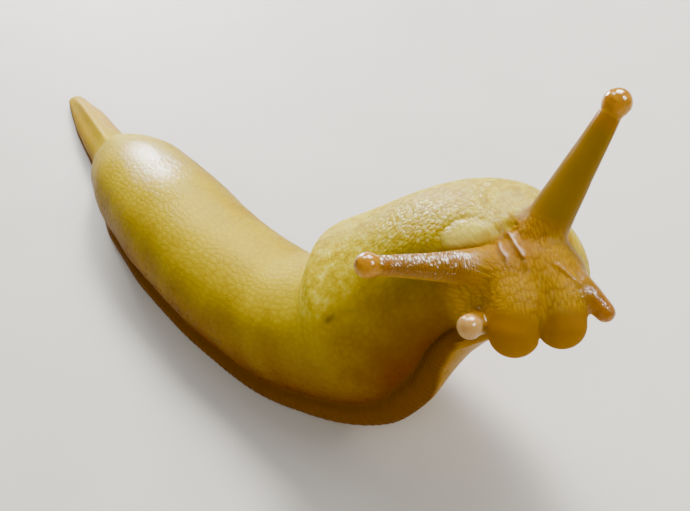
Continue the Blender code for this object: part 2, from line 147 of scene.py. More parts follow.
# Where along and around the body the rump is glossiest, and over what length and angle.
RUMP_GLOSS = (63.5, 7.0, -0.17, 0.42)
# Between these distances from its tip the tail turns from orange to yellow.
TAIL_END = (22.0, 42.0)

# How high or deep the skin's features are.
BACK_BUMP = 0.045
FACE_LINE = 0.075
MANTLE_GRAIN = 0.1
LIP_RISE = 0.2
CREASE_DEPTH = 0.14
FURROW_DEPTH = 0.05
CLEFT_DEPTH = 0.3
BODY_SWELL = 0.12
SKIN_SWELL = 0.04
# Their lengths and widths, and the radii that turn angles round the body into distances.
BACK_BUMP_SIZE = (1.7, 0.9)
FACE_LINE_SIZE = (1.5, 0.38)
CHEEK_BUMP_SIZE = (1.2, 0.6)
GRAIN_SIZE = 0.6
FURROW_SPACING = 1.1
BODY_RADIUS = 10.0
HEAD_RADIUS = 9.0

# The limbs: the root and heading from the face's station (left, up, ahead), the end, the radii at
# the root, neck and ball, the taper, and how far out the joint with the head lies.
LIMBS = {
    "upper_tentacle_left": dict(
        root=(-0.6, 7.2, -0.4), heading=(0.6, 0.78, 0.12), end=(43.6, -46.9, 45.5),
        radii=(2.95, 1.12, 1.55), flare=1.1, joint=6.4, ball="eye_left"),
    "upper_tentacle_right": dict(
        root=(-2.8, 7.4, -0.6), heading=(-0.93, 0.22, 0.2), end=(16.0, -53.8, 37.4),
        radii=(2.6, 1.05, 1.4), flare=1.7, joint=5.2, ball="eye_right"),
    "lower_tentacle_left": dict(
        root=(1.6, 6.4, 2.2), heading=(0.85, -0.45, 0.3), end=(38.1, -60.7, 30.9),
        radii=(2.0, 1.05, 1.05), flare=1.2, joint=4.6),
    "lower_tentacle_right": dict(
        root=(-5.1, 2.5, -0.6), heading=(-0.85, -0.05, 0.5), end=(24.3, -61.2, 33.7),
        radii=(1.5, 1.2, 1.28), flare=1.4, joint=2.4),
    "mouth_lobe_left": dict(
        root=(1.4, 4.9, 0.5), heading=(0.2, -0.3, 0.9), end=(33.8, -60.4, 30.1),
        radii=(4.1, 2.42, 2.52), flare=1.0, joint=0.0),
    "mouth_lobe_right": dict(
        root=(-1.4, 4.9, 0.5), heading=(-0.2, -0.3, 0.9), end=(29.0, -60.2, 30.3),
        radii=(4.1, 2.56, 2.68), flare=1.0, joint=0.0),
}
TENTACLES = [name for name in LIMBS if "tentacle" in name]
LOBES = [name for name in LIMBS if "lobe" in name]
FLESH_NODES = [
    "tail", "torso_rear", "torso_middle", "torso_front", "neck", "mantle", "head",
    "foot_tail", "foot_rear", "foot_middle", "foot_front",
] + list(LIMBS)

# The first mesh's voxels, how often its inner corners and the mantle's rim are rounded, how often
# its faces are then split, and how often all of it is eased before that.
VOXEL, FILL_ROUNDS, RIM_ROUNDS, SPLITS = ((0.28, 50, 24, 1))
RELAX_ROUNDS = 14

# The skin's colours: from the flank to the back's top, with the flank's darker orange partly painted shade,
# on the tail, and in the mantle's grain.
BACK_COLOURS = (
    (0.0, (0.17, 0.045, 0.0)), (0.2, (0.21, 0.095, 0.0)), (0.44, (0.3, 0.185, 0.0)),
    (0.72, (0.54, 0.4, 0.0)), (1.0, (0.68, 0.53, 0.0)),
)
TAIL_COLOUR = (0.56, 0.31, 0.0)
MANTLE_COLOURS = ((0.3, (0.48, 0.34, 0.0)), (0.5, (0.64, 0.5, 0.0)), (0.72, (0.84, 0.75, 0.1)))
# What covers them, in this order: a mask, the share by which it covers, and a colour or two.
COVERS = (
    # The lip's pale colour is painted light, which its raised edge catches.
    ("lip", 0.8, [(0.88, 0.78, 0.15)]),
    ("head", 1.0, [(0.38, 0.19, 0.0), (0.5, 0.28, 0.0)]),
    ("brow", 0.6, [(0.26, 0.1, 0.0)]),
    ("limb", 1.0, [(0.23, 0.095, 0.0), (0.3, 0.14, 0.0)]),
    # Brighter orange on the tentacles' undersides: painted glow of light shining through them.
    ("under", 1.0, [(0.5, 0.26, 0.0)]),
    # The left upper tentacle darker olive: painted shade, for the shade it stands in.
    ("olive", 1.0, [(0.21, 0.115, 0.0)]),
    ("tip", 0.6, [(0.36, 0.13, 0.002)]),
    ("pale", 1.0, [(0.48, 0.27, 0.075)]),
    # Darker brown on the lobes: partly their own duller colour, partly painted shade where they curve under
    # the head.
    ("lobe", 1.0, [(0.28, 0.128, 0.002)]),
    ("fold", 0.2, [(0.36, 0.1, 0.001)]),
    # Dark brown foot: partly the fringe's own brown, partly painted shade of the body's underside.
    ("foot", 1.0, [(0.14, 0.052, 0.0)]),
    ("sole", 1.0, [(0.34, 0.17, 0.006)]),
    # Darker in the grooves and the lobes' cleft: painted shade, and on the face partly the lines' own
    # darker colour.
    ("groove", 0.4, [(0.16, 0.06, 0.0)]),
    # Darker in the breathing hole's slit: painted shade.
    ("pit", 0.4, [(0.08, 0.03, 0.0)]),
)

# The lights on the flesh, and those that only its film of wet mirrors: place, aim and side in
# metres, power in watts, and colour.
MIDDLE = (0.0, -0.02, 0.01)
REAR = (-0.02, 0.02, 0.01)
FACE = (0.03, -0.06, 0.03)
FLESH_LIGHTS = {
    "key": ((0.16, 0.25, 0.42), MIDDLE, 0.15, 4.6, (1.0, 0.96, 0.88)),
    "back": ((-0.11, 0.49, 0.2), MIDDLE, 0.16, 2.4, (1.0, 0.97, 0.9)),
    "fill": ((-0.05, -0.4, 0.4), MIDDLE, 0.4, 1.5, (1.0, 0.95, 0.85)),
    "cheek": ((0.33, -0.19, 0.34), FACE, 0.12, 0.6, (1.0, 0.95, 0.85)),
}
FILM_LIGHTS = {
    "high_sky": ((0.23, 0.2, 0.4), FACE, 0.26, 17.0, (1.0, 0.98, 0.95)),
    "zenith": ((-0.03, 0.2, 0.44), FACE, 0.14, 4.0, (1.0, 0.98, 0.95)),
    "low_sky": ((-0.11, 0.49, 0.2), REAR, 0.17, 12.0, (1.0, 0.99, 0.97)),
    "side": ((0.33, -0.19, 0.34), FACE, 0.16, 12.0, (1.0, 0.98, 0.95)),
}
FLOOR_REACH = 1.2
# The camera's place in metres, its directions, and its lens in millimetres.
CAMERA_PLACE = (0.014, -0.107, 0.089)
CAMERA_FORWARD = (0.0, 0.731, -0.682)
CAMERA_RIGHT = (0.978, -0.142, -0.152)
CAMERA_LENS = 38.61


def unit(vectors):
    """Vectors at length one, along the last axis."""
    vectors = np.asarray(vectors, dtype=float)
    return vectors / np.linalg.norm(vectors, axis=-1, keepdims=True)


def smoothstep(low, high, values):
    """A soft step from 0 at low to 1 at high."""
    t = np.clip((np.asarray(values, dtype=float) - low) / (high - low), 0.0, 1.0)
    return t * t * (3.0 - 2.0 * t)


def fade(low, high, values):
    """A soft step from 1 at low to 0 at high."""
    return 1.0 - smoothstep(low, high, values)


def bell(values, width, power=2):
    """A bell from 1 at zero down to almost 0 past the width."""
    return np.exp(-(values / width) ** power)


def carried_on(values, count):
    """Samples with both ends carried on straight by a count of steps."""
    steps = np.arange(1, count + 1)
    before = values[0] - (values[1] - values[0]) * steps[::-1]
    after = values[-1] + (values[-1] - values[-2]) * steps
    return np.concatenate([before, values, after])


def smoothed(values, distance):
    """Samples rounded over a distance."""
    reach = int(distance / SAMPLE_STEP)
    window = np.hanning(2 * reach + 1)
    return np.convolve(carried_on(values, reach), window / window.sum(), mode="valid")


def read(at, samples, columns):
    """The columns' values at the places between samples."""
    return np.stack([np.interp(at, samples, column) for column in columns], axis=-1)


class Body:
    """The curve through the stations, with the body's sizes along it."""

    def __init__(self):
        rows = np.array(list(STATIONS.values()))
        spans = np.linalg.norm(np.diff(rows[:, :3], axis=0), axis=1)
        knots = np.concatenate([[0.0], np.cumsum(spans)])
        self.at = dict(zip(STATIONS, knots))
        samples = np.arange(0.0, knots[-1], SAMPLE_STEP)
        columns = [
            smoothed(np.interp(samples, knots, row), PATH_SMOOTHING if k < 3 else SIZE_SMOOTHING)
            for k, row in enumerate(rows.T)
        ]
        self.last = samples[-1]
        extra = np.arange(SAMPLE_STEP, OVERRUN, SAMPLE_STEP)
        self.samples = np.concatenate([-extra[::-1], samples, self.last + extra])
        self.sizes_along = [np.pad(column, len(extra), mode="edge") for column in columns[3:]]
        self.places = [carried_on(column, len(extra)) for column in columns[:3]]
        self.slopes = [np.gradient(column, SAMPLE_STEP) for column in self.places]

    def sizes(self, s):
        """Half width, height, and height of the groove over the foot, at each s."""
        return np.moveaxis(read(s, self.samples, self.sizes_along), -1, 0)

    def frame(self, s):
        """The sole's middle, and the directions forwards, to the slug's left, and up its back."""
        middle = read(s, self.samples, self.places)
        forwards = unit(read(s, self.samples, self.slopes))
        up = unit(np.array([0.0, 0.0, 1.0]) - forwards[..., 2:] * forwards)
        return middle, forwards, np.cross(up, forwards), up

    def place(self, s, outline, shift=0.0):
        """Outlines of (left, up) distances, set square to the curve at each s."""
        middle, forwards, left, up = [value[..., None, :] for value in self.frame(s)]
        shift = np.asarray(shift, dtype=float)[..., None, None]
        return middle + shift * forwards + outline[..., :1] * left + outline[..., 1:] * up

    def locate(self, points):
        """How far along the body, left of and above the sole's middle each point is."""
        coarse = np.arange(-OVERRUN / 2, self.last + OVERRUN / 2, 1.0)
        middle, forwards, _, _ = self.frame(coarse)
        s = np.empty(len(points))
        for start in range(0, len(points), BATCH):
            part = points[start:start + BATCH]
            away = (part ** 2).sum(1)[:, None] - 2.0 * part @ middle.T + (middle ** 2).sum(1)
            s[start:start + BATCH] = coarse[away.argmin(1)]
        for _ in range(8):
            middle, forwards, _, _ = self.frame(s)
            s = s + 0.8 * ((points - middle) * forwards).sum(1)
            s = np.clip(s, -OVERRUN / 2, self.last + OVERRUN * 0.8)
        middle, _, left, up = self.frame(s)
        offset = points - middle
        return s, (offset * left).sum(1), (offset * up).sum(1)


def widest_level(height, foot):
    """The level at which the flesh is widest."""
    return foot + WIDEST_LEVEL * (height - foot)


def flesh_point(angle, half_width, height, foot, proud=0.0):
    """A point at an angle round the flesh's outline, standing proud of it by a distance."""
    level = widest_level(height, foot)
    drop = (level - foot) / math.sin(TUCK)
    rise = np.where(np.sin(angle) > 0, height - level, drop)
    return np.stack([(half_width + proud) * np.cos(angle), level + (rise + proud) * np.sin(angle)], axis=-1)


def loft(rings):
    """A closed mesh through rings of equal counts: its points and its faces."""
    rings = np.asarray(rings)
    count, around = rings.shape[:2]
    index = np.arange(count * around).reshape(count, around)
    after = np.roll(index, -1, axis=1)
    sides = np.stack([index[:-1], after[:-1], after[1:], index[1:]], axis=-1).reshape(-1, 4)
    ends = np.array([rings[0].mean(0), rings[-1].mean(0)])
    first, last = count * around, count * around + 1
    caps = [(first, b, a) for a, b in zip(index[0], after[0])]
    caps += [(last, a, b) for a, b in zip(index[-1], after[-1])]
    points = np.concatenate([rings.reshape(-1, 3), ends])
    return points, [tuple(int(k) for k in face) for face in list(sides) + caps]


def make_mesh(name, points, faces):
    """A mesh of points in the units they come in."""
    mesh = bpy.data.meshes.new(name)
    mesh.from_pydata([tuple(point) for point in points], [], faces)
    mesh.validate()
    mesh.update()
    return mesh


def make_object(name, data):
    """An object of a mesh, light or camera, in the scene."""
    made = bpy.data.objects.new(name, data)
    bpy.context.scene.collection.objects.link(made)
    return made


def rounded_end(body, s, outline, centre, reach, steps=14, power=1.0):
    """Rings that round off an end of a shell, from its rim to its tip."""
    turns = 0.5 * math.pi * (np.arange(steps) + 1) / (steps + 0.3)
    scales = zip(np.cos(turns) ** power, np.sin(turns))
    return [body.place(s, centre + (outline - centre) * a, b * reach) for a, b in scales]


def keel_at(body, s):
    """How far the tail's keel stands up at s."""
    share = np.clip(1.0 - s / body.at["hips"], 0.0, 1.0)
    tip = np.clip(s / (0.3 * body.at["tail_root"]), 0.0, 1.0)
    return KEEL_HEIGHT * np.minimum(1.0, 2.0 * share) * tip


def flesh_outlines(body, s, chin):
    """The flesh's cross-sections, with a base sunk into the foot or sagging as a chin."""
    half_width, height, foot = [size[:, None] for size in body.sizes(s)]
    angles = np.linspace(-TUCK, math.pi + TUCK, 121)
    arc = flesh_point(angles[None, :], half_width, height, foot)
    ridge = keel_at(body, s)[:, None] * bell(arc[..., 0], KEEL_WIDTH * half_width)
    arc[..., 1] += np.where(np.sin(angles) > 0, ridge, 0.0)
    across = half_width * math.cos(TUCK) * np.array([-0.85, -0.5, 0.0, 0.5, 0.85])
    sunk = foot - np.minimum(SINK, 0.5 * foot) * (chin[:, None] <= 0.0)
    base = sunk - chin[:, None] * np.array([0.4, 0.85, 1.0, 0.85, 0.4])
    return np.concatenate([arc, np.stack([across, base], axis=-1)], axis=1)


def flesh_shell(body):
    """The flesh from the tip of the tail to the face, rounded off at both ends."""
    s = np.arange(0.0, body.at["face"] - SAMPLE_STEP + 0.01, RING_STEP)
    neck = body.at["neck"]
    share = np.clip((s - neck) / (s[-1] - neck), 0.0, 1.0)
    outlines = flesh_outlines(body, s, CHIN * np.sin(0.5 * math.pi * share))
    rings = body.place(s, outlines)
    centre = np.array([0.0, FACE_CENTRE * body.sizes(s[-1])[1]])
    face = rounded_end(body, s[-1], outlines[-1], centre, FACE_ROUNDING, 24, FACE_BLUNTNESS)
    tail = rounded_end(body, 0.0, outlines[0], 0.0, -TAIL_ROUNDING * body.sizes(0.0)[0])
    return loft(np.concatenate([tail[::-1], rings, face]))


def foot_outlines(half_width, foot):
    """The foot's cross-sections: a flat sole, and a fringe that rounds up to the groove."""
    groove = half_width * math.cos(TUCK)
    edge = half_width + FRINGE
    top = foot - 0.05
    none = 0.0 * foot
    across = [none, 0.45 * edge, 0.93 * edge, edge, 0.995 * edge, 0.99 * groove, 0.5 * groove, none]
    level = [none, none, none, 0.25 * foot, 0.72 * foot, top, top, top]
    half = np.stack([np.stack(across, axis=-1), np.stack(level, axis=-1)], axis=-1)
    mirrored = half[..., -2:0:-1, :] * np.array([-1.0, 1.0])
    outline = np.concatenate([half, mirrored], axis=-2)
    for _ in range(3):
        after = np.roll(outline, -1, axis=-2)
        pairs = np.stack([0.75 * outline + 0.25 * after, 0.25 * outline + 0.75 * after], axis=-2)
        outline = pairs.reshape(*outline.shape[:-2], -1, 2)
    return outline


def foot_shell(body):
    """The foot from the tip of the tail to below the head, rounded off at both ends."""
    stop = body.at["neck"] - FOOT_SHORT_OF_HEAD
    s = np.linspace(0.0, stop, 320)
    half_width, _, foot = body.sizes(s)
    outlines = foot_outlines(half_width, foot)
    rings = body.place(s, outlines)
    top = np.array([0.0, outlines[-1][:, 1].max() - 0.2])
    front = rounded_end(body, stop, outlines[-1], top, FOOT_ROUNDING)
    tail = rounded_end(body, 0.0, outlines[0], 0.0, -TAIL_ROUNDING * half_width[0])
    return loft(np.concatenate([tail[::-1], rings, front]))


def mantle_reach(body):
    """The middle and the half length of the mantle, along the body."""
    back, front = body.at[MANTLE_BACK], body.at[MANTLE_FRONT] + MANTLE_OVERHANG
    return (back + front) / 2, (front - back) / 2


def mantle_shell(body):
    """The shield over the front of the back, with its lower face sunk into the flesh."""
    turns = np.linspace(0.0, 2 * math.pi, 240, endpoint=False)
    ahead, aside = np.cos(turns), np.sin(turns)
    power = np.where(ahead > 0, MANTLE_FRONT_POWER, MANTLE_BACK_POWER)
    reach = (np.abs(ahead) ** power + np.abs(aside) ** power) ** (-1 / power)
    edge = MANTLE_EDGE_BACK + (MANTLE_EDGE_FRONT - MANTLE_EDGE_BACK) * smoothstep(-0.3, 0.6, ahead)
    ahead, aside = reach * ahead, reach * aside
    shares = np.concatenate([np.linspace(0.02, 0.96, 40), np.linspace(0.97, 1.0, 6)])
    rings = [(share, edge + (MANTLE_CREST - edge) * math.sqrt(1.0 - share ** 2)) for share in shares]
    rings += [(0.995, 0.5 * edge), (0.98, 0.2 * edge), (0.96, -0.3), (0.5, -0.6), (0.02, -0.6)]
    middle, half_length = mantle_reach(body)
    made = []
    for share, proud in rings:
        s = middle + half_length * share * ahead
        angle = 0.5 * math.pi + MANTLE_HALF_ANGLE * share * aside
        angle += MANTLE_SKEW * np.maximum(0.0, share * ahead) ** 2
        outline = flesh_point(angle, *body.sizes(s), proud)
        made.append(body.place(s, outline[:, None, :])[:, 0])
    return loft(made)


class Limb:
    """A round tapered limb along a curve, with a ball at its end."""

    def __init__(self, body, name):
        spec = LIMBS[name]
        middle, forwards, left, up = body.frame(body.at["face"])
        axes = np.array([left, up, forwards])
        root = middle + np.array(spec["root"]) @ axes
        tip = np.array(spec["end"])
        reach = np.linalg.norm(tip - root)
        bend = root + 0.4 * reach * unit(np.array(spec["heading"]) @ axes)
        t = np.linspace(0.0, 1.0, 120)[:, None]
        self.name = name
        self.curve = (1 - t) ** 2 * root + 2 * t * (1 - t) * bend + t * t * tip
        steps = np.linalg.norm(np.diff(self.curve, axis=0), axis=1)
        self.distance = np.concatenate([[0.0], np.cumsum(steps)])
        self.length = self.distance[-1]
        self.slopes = unit(np.gradient(self.curve, self.distance, axis=0))
        self.root_radius, self.neck_radius, self.ball_radius = spec["radii"]
        self.flare = spec["flare"]
        self.joint = spec["joint"]
        self.ball = spec.get("ball")

    def radius(self, d):
        """The radius at the distances d along the limb."""
        left = np.maximum(0.0, 1.0 - d / self.length)
        taper = self.neck_radius + (self.root_radius - self.neck_radius) * left ** self.flare
        ball = np.sqrt(np.maximum(0.0, self.ball_radius ** 2 - (d - self.length) ** 2))
        soft = 0.25
        both = 0.5 * (taper + ball + np.sqrt((taper - ball) ** 2 + soft ** 2)) - 0.5 * soft * 0.6
        return np.where(d < self.length, np.maximum(both, taper), ball)

    def frame(self, d):
        """A point of the curve, its heading, and two directions square to it."""
        inside = np.clip(d, 0.0, self.length)
        point = read(inside, self.distance, self.curve.T)
        ahead = unit(read(inside, self.distance, self.slopes.T))
        point = point + (d - inside)[..., None] * ahead
        side = unit(np.cross(ahead, (0.0, 0.3, 1.0)))
        return point, ahead, side, np.cross(ahead, side)

    def rings(self, d, radii, sides=48):
        """Rings round the limb at the distances d."""
        point, _, side, other = [value[:, None, :] for value in self.frame(d)]
        turns = 2 * math.pi * np.arange(sides) / sides
        spread = np.asarray(radii)[:, None, None]
        return point + spread * (np.cos(turns)[:, None] * side + np.sin(turns)[:, None] * other)

    def to_tip(self, start, steps):
        """Distances along the limb from a start to the tip of its ball, closest there."""
        turns = np.linspace(0.0, 0.5 * math.pi, steps)[:-1]
        end = self.length + self.ball_radius * np.sin(turns)
        return np.concatenate([np.linspace(start, self.length, 60)[:-1], end])

    def shell(self):
        """The closed surface of the limb's own flesh; one with an eye ends inside its knob."""
        if self.ball:
            stop = self.length - 0.6 * self.ball_radius
            d = np.linspace(0.0, stop, 90)
            radii = np.minimum(self.radius(d), 0.97 * self.neck_radius + (stop - d) * 0.3)
            return loft(self.rings(d, radii))
        d = self.to_tip(0.0, 24)
        return loft(self.rings(d, self.radius(d)))

    def locate(self, points):
        """How far along the limb and from its curve each point is, and its angle round it."""
        d, away, turn = np.zeros(len(points)), np.full(len(points), FAR), np.zeros(len(points))
        close = np.flatnonzero(np.linalg.norm(points - self.curve.mean(0), axis=1) < self.length + 2.0)
        for some in np.array_split(close, len(close) // BATCH + 1):
            nearest = ((points[some, None] - self.curve) ** 2).sum(2).argmin(1)
            offset = points[some] - self.curve[nearest]
            d[some] = self.distance[nearest] + (offset * self.slopes[nearest]).sum(1)
            point, _, side, other = self.frame(d[some])
            offset = points[some] - point
            a, b = (offset * side).sum(1), (offset * other).sum(1)
            away[some] = np.hypot(a, b)
            turn[some] = np.arctan2(b, a)
        return d, away, turn


def merge(shells):
    """Several closed meshes as one list of points and one of faces."""
    points, faces, count = [], [], 0
    for shell_points, shell_faces in shells:
        points.append(shell_points)
        faces += [tuple(k + count for k in face) for face in shell_faces]
        count += len(shell_points)
    return np.concatenate(points), faces


def modified(mesh, kind, **settings):
    """The mesh with a modifier applied to it."""
    work = make_object("work", mesh)
    modifier = work.modifiers.new("work", kind)
    for key, value in settings.items():
        setattr(modifier, key, value)
    bpy.context.view_layer.update()
    made = bpy.data.meshes.new_from_object(work.evaluated_get(bpy.context.evaluated_depsgraph_get()))
    bpy.data.objects.remove(work, do_unlink=True)
    return made


def gathered(items, key):
    """Three numbers of each of a mesh's items."""
    found = np.empty(len(items) * 3, dtype=np.float32)
    items.foreach_get(key, found)
    return found.reshape(-1, 3).astype(float)


def vertices(mesh):
    """The places of a mesh's vertices."""
    return gathered(mesh.vertices, "co")


def set_vertices(mesh, places):
    """Move a mesh's vertices."""
    mesh.vertices.foreach_set("co", np.asarray(places, dtype=np.float32).ravel())
    mesh.update()


def normals(mesh):
    """The directions in which a mesh's vertices face."""
    return gathered(mesh.vertex_normals, "vector")


class Links:
    """Which vertices of a mesh are joined by an edge."""

    def __init__(self, mesh):
        edges = np.empty(len(mesh.edges) * 2, dtype=np.int32)
        mesh.edges.foreach_get("vertices", edges)
        self.a, self.b = edges.reshape(-1, 2).T
        self.size = len(mesh.vertices)
        self.count = np.bincount(self.a, minlength=self.size) + np.bincount(self.b, minlength=self.size)

    def mean(self, values):
        """The mean of each vertex's neighbours."""
        columns = values.reshape(self.size, -1).T
        sums = [
            np.bincount(self.a, column[self.b], self.size) + np.bincount(self.b, column[self.a], self.size)
            for column in columns
        ]
        return (np.stack(sums, axis=1) / self.count[:, None]).reshape(values.shape)


def relaxed(links, places, weights, rounds):
    """Places eased towards their neighbours' mean and partly back, which keeps the volume."""
    for _ in range(rounds):
        for step in (0.55, -0.5):
            places = places + weights[:, None] * step * (links.mean(places) - places)
    return places


def rounded(mesh, links, places, weights, rounds, way):
    """Places moved out of inner corners (way 1) or in from outer ones (way -1)."""
    for _ in range(rounds):
        set_vertices(mesh, places)
        facing = normals(mesh)
        hollow = way * ((links.mean(places) - places) * facing).sum(1)
        places = places + (way * 0.7 * weights * np.maximum(0.0, hollow))[:, None] * facing
    return places


def hashed(a, b, c):
    """A number from 0 to 1 that looks random, for each cell of a grid."""
    h = (a * 73856093) ^ (b * 19349663) ^ (c * 83492791 + SEED * 2654435)
    h = ((h ^ (h >> 13)) * 1274126177) & 0x7FFFFFFF
    h = ((h ^ (h >> 15)) * 951274213) & 0x7FFFFFFF
    return h / float(0x7FFFFFFF)


def tubercles(u, v, kind, loose=0.8):
    """Low rounded bumps, about one to each unit square, from 0 in the grooves between them to 1."""
    iu, iv = np.floor(u).astype(np.int64), np.floor(v).astype(np.int64)
    first = np.full(u.shape, 9.0)
    second = first.copy()
    for du in (-1, 0, 1):
        for dv in (-1, 0, 1):
            cu, cv = iu + du, iv + dv
            away = np.hypot(
                cu + 0.5 + loose * (hashed(cu, cv, kind) - 0.5) - u,
                cv + 0.5 + loose * (hashed(cu, cv, kind + 1) - 0.5) - v)
            second = np.minimum(second, np.maximum(first, away))
            first = np.minimum(first, away)
    return np.clip((second - first) / 0.5, 0.0, 1.0) ** 0.7


def drift(points, size, kind):
    """Smooth noise from -1 to 1 with bumps of about the given size."""
    at = points / size
    base = np.floor(at).astype(np.int64)
    part = at - base
    part = part * part * (3.0 - 2.0 * part)
    total = np.zeros(len(points))
    for step in np.ndindex(2, 2, 2):
        x, y, z = (base + step).T
        total += hashed(x, y, z * 31 + kind) * np.abs(1 - np.array(step) - part).prod(axis=1)
    return 2.0 * total - 1.0


class Skin:
    """The places of the skin's vertices in the measures of the body and its limbs."""

    def __init__(self, body, limbs, points):
        self.body, self.limbs, self.points = body, limbs, points
        self.s, self.left, self.up = body.locate(points)
        half_width, height, foot = body.sizes(self.s)
        level = widest_level(height, foot)
        rise = np.where(self.up > level, height - level, (level - foot) / math.sin(TUCK))
        angle = np.arctan2((self.up - level) / rise, self.left / half_width)
        self.around = np.where(angle < -math.pi / 2, angle + 2 * math.pi, angle) - math.pi / 2
        self.half_width, self.height, self.foot = half_width, height, foot
        self.level, self.rise = level, rise
        self.limb_at = {limb.name: limb.locate(points) for limb in limbs}

    def on_limb(self, name):
        """How surely a point belongs to a limb."""
        limb = next(limb for limb in self.limbs if limb.name == name)
        d, away, _ = self.limb_at[name]
        near = fade(1.1, 1.5, away / np.maximum(limb.radius(np.minimum(d, limb.length)), 0.3))
        past = smoothstep(limb.joint - 3.0, limb.joint + 0.5, d)
        return near * past * (d < limb.length + 3.0)

    def mantle_share(self):
        """The share of the way from the mantle's middle to its edge, and how far ahead that is."""
        middle, half_length = mantle_reach(self.body)
        ahead = (self.s - middle) / half_length
        aside = (self.around - MANTLE_SKEW * np.maximum(0.0, ahead) ** 2) / MANTLE_HALF_ANGLE
        power = np.where(ahead > 0, MANTLE_FRONT_POWER, MANTLE_BACK_POWER)
        return (np.abs(ahead) ** power + np.abs(aside) ** power) ** (1 / power), ahead

    def cleft(self):
        """How near a point is to the cleft between the two lobes, in millimetres."""
        left, right = [limb.curve[-1] for limb in self.limbs if limb.name in LOBES]
        return np.abs((self.points - (left + right) / 2) @ unit(left - right))


def smooth_head(body, limbs, mesh, places):
    """Ease the surface, and run the limbs' roots and the lobes into the face."""
    rough = Skin(body, limbs, places)
    links = Links(mesh)
    past_neck = smoothstep(body.at["neck"] - 1.0, body.at["neck"] + 2.5, rough.s)
    share, ahead = rough.mantle_share()
    upper_half = rough.up > 0.4 * rough.height
    clear_of_mantle = smoothstep(1.02, 1.12, share)
    mantle_flank = fade(0.15, 0.4, np.abs(share - 1.03))
    mantle_flank *= fade(0.5, 0.8, ahead)
    beyond = np.zeros(len(places))
    for limb in limbs:
        d, away, _ = rough.limb_at[limb.name]
        if limb.name in TENTACLES:
            beyond = np.maximum(beyond, smoothstep(limb.joint + 1.0, limb.joint + 3.5, d) * (away < 4.0))
    off_cleft = smoothstep(0.8, 1.6, rough.cleft())
    off_sole = smoothstep(1.8, 3.4, rough.up)
    places = relaxed(links, places, 0.25 + 0.6 * past_neck * (1.0 - beyond), RELAX_ROUNDS)
    weights = past_neck * clear_of_mantle * (1.0 - beyond) * off_cleft * off_sole
    weights = np.maximum(weights, mantle_flank * upper_half)
    places = rounded(mesh, links, places, weights, FILL_ROUNDS, 1)
    rim = smoothstep(0.86, 0.93, share) * fade(1.0, 1.02, share)
    return rounded(mesh, links, places, rim * smoothstep(0.3, 0.6, ahead) * upper_half, RIM_ROUNDS, -1)


def store(mesh, masks):
    """Keep the masks on the mesh's vertices, for its material."""
    for name, values in masks.items():
        kind, key = ("FLOAT", "value") if values.ndim == 1 else ("FLOAT_VECTOR", "vector")
        mesh.attributes.new(name, kind, "POINT").data.foreach_set(key, values.astype(np.float32).ravel())


def make_skin(body, limbs):
    """The one skin over the whole slug, with its folds, bumps and grooves."""
    shells = [flesh_shell(body), foot_shell(body), mantle_shell(body)] + [limb.shell() for limb in limbs]
    mesh = modified(make_mesh("work", *merge(shells)), "REMESH", mode="VOXEL", voxel_size=VOXEL)
    set_vertices(mesh, smooth_head(body, limbs, mesh, vertices(mesh)))
    mesh = modified(mesh, "SUBSURF", levels=SPLITS, render_levels=SPLITS)
    facing = normals(mesh)
    places = vertices(mesh)
    height, masks = relief(Skin(body, limbs, places), facing)
    places = places + facing * height[:, None]
    places = np.clip(places, np.array(cad_low) / MM, np.array(cad_high) / MM)
    set_vertices(mesh, places * MM)
    store(mesh, masks)
    mesh.shade_smooth()
    return make_object("skin", mesh)


def limb_masks(skin):
    """Where the tentacles, their tips, the pale one and the one with painted shade are, and places on them.
    """
    limb = np.zeros(len(skin.s))
    tip, pale, olive = limb.copy(), limb.copy(), limb.copy()
    stalk = np.zeros((len(limb), 3))
    for piece in skin.limbs:
        if piece.name not in TENTACLES:
            continue
        d, _, turn = skin.limb_at[piece.name]
        on = skin.on_limb(piece.name)
        nearer = (on > limb) & (on > 0.02)
        stalk = np.where(nearer[:, None], np.stack([d, turn, 0.0 * d], axis=1), stalk)
        limb = np.maximum(limb, on)
        end = on * smoothstep(piece.length - 4.0, piece.length - 0.5, d)
        tip = np.maximum(tip, end)
        if piece.name == "lower_tentacle_right":
            pale = end
        # The left upper tentacle carries painted shade.
        if piece.name == "upper_tentacle_left":
            olive = on
    return {"limb": limb, "tip": tip, "pale": pale, "olive": olive, "stalk": stalk}


def lobe_mask(skin):
    """Where the two lobes beside the mouth are."""
    lobe = np.zeros(len(skin.s))
    for piece in skin.limbs:
        if piece.name in LOBES:
            away = np.linalg.norm(skin.points - piece.curve[-1], axis=1)
            lobe = np.maximum(lobe, fade(1.0, 1.35, away / piece.ball_radius))
    return lobe


def hole_relief(skin):
    """The breathing hole in the mantle's right edge, a slit between swollen rims."""
    middle, half_length = mantle_reach(skin.body)
    along = (skin.s - middle + HOLE_SHARE_BACK * half_length) / HOLE_HALF_LENGTH
    aside = (skin.around - MANTLE_HALF_ANGLE * (HOLE_SHARE_OUT - 0.06)) * skin.half_width
    slit = bell(along, 1.0, 4) * bell(aside, 0.3)
    rim = bell(along, 1.2, 4) * bell(np.abs(aside) - 0.75, 0.4)
    return HOLE_RIM * rim - HOLE_DEPTH * slit, slit


def mouth_relief(skin):
    """The slit of the mouth under the head, behind the lobes' cleft, between two lips."""
    middle, forwards, left, up = skin.body.frame(skin.body.at["face"])
    offset = skin.points - middle
    aside = np.abs(offset @ left)
    ahead = offset @ forwards - MOUTH_AHEAD
    low = fade(0.6, 1.6, offset @ up)
    length = bell(ahead, MOUTH_HALF_LENGTH, 4) * low * (aside < 4.0)
    lips = MOUTH_RIM * bell(aside - 0.75, 0.4)
    return length * (lips - MOUTH_DEPTH * bell(aside, 0.28))


